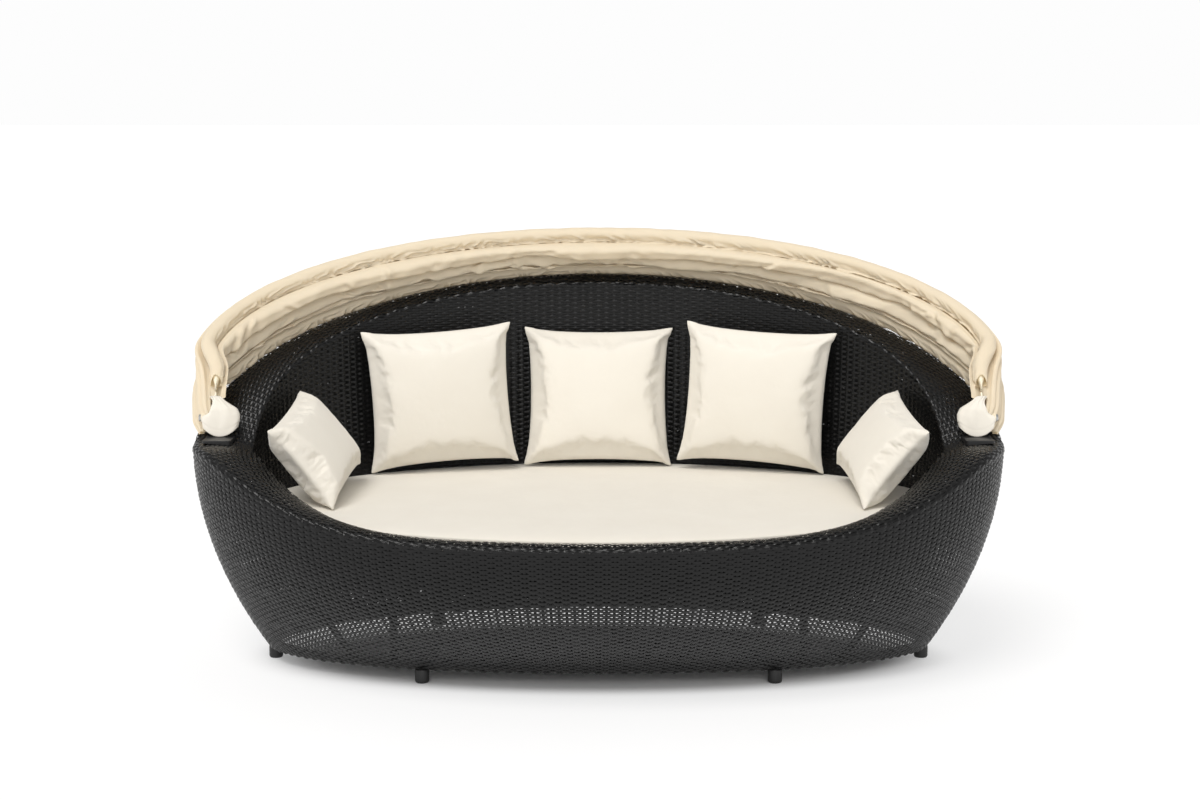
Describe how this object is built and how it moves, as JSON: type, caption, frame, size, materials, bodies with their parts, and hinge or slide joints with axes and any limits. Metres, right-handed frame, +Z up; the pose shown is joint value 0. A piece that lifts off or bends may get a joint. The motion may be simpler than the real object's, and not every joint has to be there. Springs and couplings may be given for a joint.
{
  "type": "outdoor daybed with folding canopy",
  "caption": "Oval woven outdoor daybed with a fitted mattress, loose pillows and a fabric canopy that folds back onto the rim of the high back.",
  "frame": {"origin": "on the floor, under the middle of the whole object", "axes": "+Z up, the open front towards -Y, +X to the right of someone facing the front"},
  "size_m": [2.2338, 1.2992, 1.1435],
  "materials": {
    "wicker": "woven synthetic strands, satin black",
    "frame_tube": "powder coated steel tube",
    "bracket": "powder coated steel",
    "bolt": "zinc plated",
    "foot": "moulded, matte",
    "bow": "cream powder coat",
    "canopy_cloth": "cream woven outdoor cloth",
    "cushion": "ivory woven outdoor cloth over foam and fibre"
  },
  "bodies": {
    "root": {"outer_shell": "wicker", "rim_cap": "wicker", "inner_bowl": "wicker", "seat_deck": "wicker", "base_ring": "frame_tube", "outer_rim_tube": "frame_tube", "inner_rim_tube": "frame_tube", "seat_ring": "frame_tube", "outer_rib_1": "frame_tube", "outer_rib_2": "frame_tube", "outer_rib_3": "frame_tube", "outer_rib_4": "frame_tube", "outer_rib_5": "frame_tube", "outer_rib_6": "frame_tube", "inner_rib_1": "frame_tube", "inner_rib_2": "frame_tube", "inner_rib_3": "frame_tube", "inner_rib_4": "frame_tube", "inner_rib_5": "frame_tube", "seat_slat_1": "frame_tube", "seat_slat_2": "frame_tube", "seat_slat_3": "frame_tube", "seat_slat_4": "frame_tube", "seat_post_1": "frame_tube", "seat_post_2": "frame_tube", "seat_post_3": "frame_tube", "seat_post_4": "frame_tube", "seat_post_left": "frame_tube", "seat_post_right": "frame_tube", "foot_front_left": "foot", "foot_front_right": "foot", "foot_back_left": "foot", "foot_back_right": "foot", "foot_left": "foot", "foot_right": "foot", "bow_rear": "bow", "sleeve_rear": "canopy_cloth", "canopy_gore_rear": "canopy_cloth", "pivot_bracket_right": "bracket", "pivot_bracket_left": "bracket", "pivot_bolt_right": "bolt", "pivot_bolt_left": "bolt"},
    "canopy_second": {"bow_second": "bow", "sleeve_second": "canopy_cloth", "canopy_gore_middle": "canopy_cloth"},
    "canopy_third": {"bow_third": "bow", "sleeve_third": "canopy_cloth", "canopy_gore_front": "canopy_cloth"},
    "canopy_front": {"bow_front": "bow", "sleeve_front": "canopy_cloth", "boot_left": "canopy_cloth", "boot_right": "canopy_cloth"},
    "mattress_body": {"mattress": "cushion"},
    "pillow_centre_body": {"pillow_centre": "cushion"},
    "pillow_left_body": {"pillow_left": "cushion"},
    "pillow_right_body": {"pillow_right": "cushion"},
    "side_pillow_left_body": {"side_pillow_left": "cushion"},
    "side_pillow_right_body": {"side_pillow_right": "cushion"}
  },
  "joints": [
    {"name": "second_bow_hinge", "type": "hinge", "parent": "root", "child": "canopy_second", "pos_m": [0, -0.00456, 0.665], "axis": [1, 0, 0], "range_deg": [0, 33], "deforming": ["canopy_gore_rear"]},
    {"name": "third_bow_hinge", "type": "hinge", "parent": "canopy_second", "child": "canopy_third", "pos_m": [0, -0.00456, 0.665], "axis": [1, 0, 0], "range_deg": [0, 33], "deforming": ["canopy_gore_middle"]},
    {"name": "front_bow_hinge", "type": "hinge", "parent": "canopy_third", "child": "canopy_front", "pos_m": [0, -0.00456, 0.665], "axis": [1, 0, 0], "range_deg": [0, 33], "deforming": ["canopy_gore_front"]},
    {"name": "mattress_lift", "type": "slide", "parent": "root", "child": "mattress_body", "axis": [0, 0, 1], "range_m": [0, 0.1]},
    {"name": "pillow_centre_lift", "type": "slide", "parent": "mattress_body", "child": "pillow_centre_body", "axis": [0, 0, 1], "range_m": [0, 0.08]},
    {"name": "pillow_left_lift", "type": "slide", "parent": "mattress_body", "child": "pillow_left_body", "axis": [0, 0, 1], "range_m": [0, 0.08]},
    {"name": "pillow_right_lift", "type": "slide", "parent": "mattress_body", "child": "pillow_right_body", "axis": [0, 0, 1], "range_m": [0, 0.08]},
    {"name": "side_pillow_left_lift", "type": "slide", "parent": "mattress_body", "child": "side_pillow_left_body", "axis": [0, 0, 1], "range_m": [0, 0.08]},
    {"name": "side_pillow_right_lift", "type": "slide", "parent": "mattress_body", "child": "side_pillow_right_body", "axis": [0, 0, 1], "range_m": [0, 0.08]}
  ],
  "couplings": [
    {"joint": "third_bow_hinge", "follows": "second_bow_hinge", "ratio": 1},
    {"joint": "front_bow_hinge", "follows": "second_bow_hinge", "ratio": 1}
  ]
}
